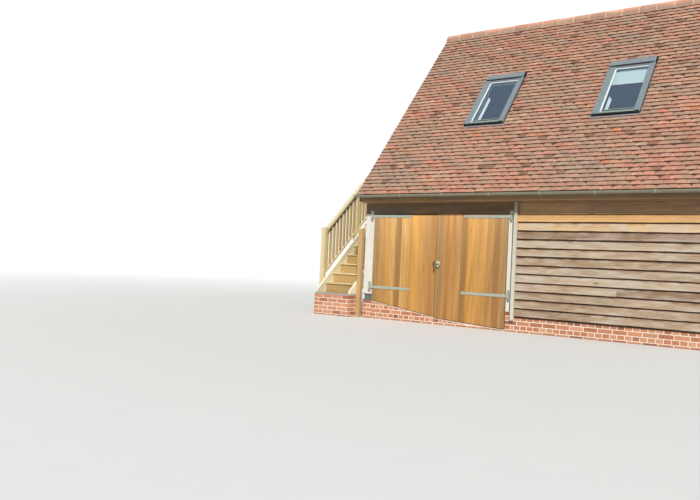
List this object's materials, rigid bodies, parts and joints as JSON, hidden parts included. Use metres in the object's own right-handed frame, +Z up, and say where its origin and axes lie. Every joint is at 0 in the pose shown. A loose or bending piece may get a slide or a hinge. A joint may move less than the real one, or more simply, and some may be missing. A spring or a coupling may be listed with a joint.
{
  "type": "oak-framed garage barn with a loft and an outside stair",
  "caption": "Weatherboarded garage barn with a steep tiled roof, roof windows, a pair of hinged garage doors and an outside stair to its loft.",
  "frame": {"origin": "middle of the floor slab's underside, at the level of the lowest ground that the plinths meet", "axes": "+Z up, +Y from the garage doors into the building, +X along the front to the right"},
  "size_m": [7.53, 6.582, 6.2177],
  "materials": {
    "brick": "matte red brick with cream lime mortar",
    "concrete": "matte concrete",
    "silver_oak": "weathered silver oak",
    "shaded_oak": "brown oak under the eaves",
    "joist_timber": "sawn timber",
    "weatherboard": "weathered oak boards",
    "clay_tile": "plain clay tiles of mixed reds",
    "ridge_tile": "buff clay with pale mortar",
    "gutter_metal": "satin grey-green",
    "shoe_metal": "dark satin",
    "window_timber": "white painted",
    "window_metal": "satin grey",
    "glazing": "clear",
    "lead": "dull grey lead",
    "blind_cloth": "matte cream cloth",
    "door_oak": "oiled oak",
    "zinc_steel": "galvanised",
    "new_timber": "planed new timber",
    "tread_timber": "planed new timber, warmer"
  },
  "bodies": {
    "building": {"front_plinth": "brick", "back_plinth": "brick", "gable_plinths": "brick", "floor_slab": "concrete", "stair_pad": "brick", "left_door_post": "silver_oak", "right_door_post": "silver_oak", "corner_posts": "silver_oak", "post_shoe": "shoe_metal", "eaves_beams": "shaded_oak", "wall_plates": "shaded_oak", "floor_beam": "shaded_oak", "floor_joists": "joist_timber", "loft_floor": "joist_timber", "front_wall": "weatherboard", "back_wall": "weatherboard", "left_gable_wall": "weatherboard", "right_gable_wall": "weatherboard", "trim_boards": "silver_oak", "front_roof": "clay_tile", "back_roof": "clay_tile", "bargeboards": "shaded_oak", "ridge_tiles": "ridge_tile", "eaves_boards": "shaded_oak", "front_gutter": "gutter_metal", "back_gutter": "gutter_metal", "roof_window_frames": "window_timber", "roof_window_covers": "window_metal", "roof_window_glass": "glazing", "roof_window_flashings": "lead", "window_blind": "blind_cloth", "loft_door_frame": "new_timber", "loft_door": "door_oak", "hinge_hooks": "zinc_steel", "outer_string": "new_timber", "wall_string": "new_timber", "treads": "tread_timber", "risers": "tread_timber", "outer_newels": "new_timber", "wall_newels": "new_timber", "flight_balustrade": "new_timber", "wall_handrail": "new_timber", "landing_beams": "new_timber", "landing_joists": "new_timber", "landing_deck": "tread_timber", "landing_balustrade": "new_timber"},
    "left_leaf": {"left_door": "door_oak", "left_straps": "zinc_steel", "latch_keeper": "zinc_steel"},
    "right_leaf": {"right_door": "door_oak", "right_straps": "zinc_steel", "door_latch": "zinc_steel"}
  },
  "joints": [
    {"name": "left_leaf_hinge", "type": "hinge", "parent": "building", "child": "left_leaf", "pos_m": [-3.032, -2.978, 1.2], "axis": [0, 0, -1], "range_deg": [0, 100]},
    {"name": "right_leaf_hinge", "type": "hinge", "parent": "building", "child": "right_leaf", "pos_m": [-0.16, -2.978, 1.2], "axis": [0, 0, 1], "range_deg": [0, 100]}
  ]
}
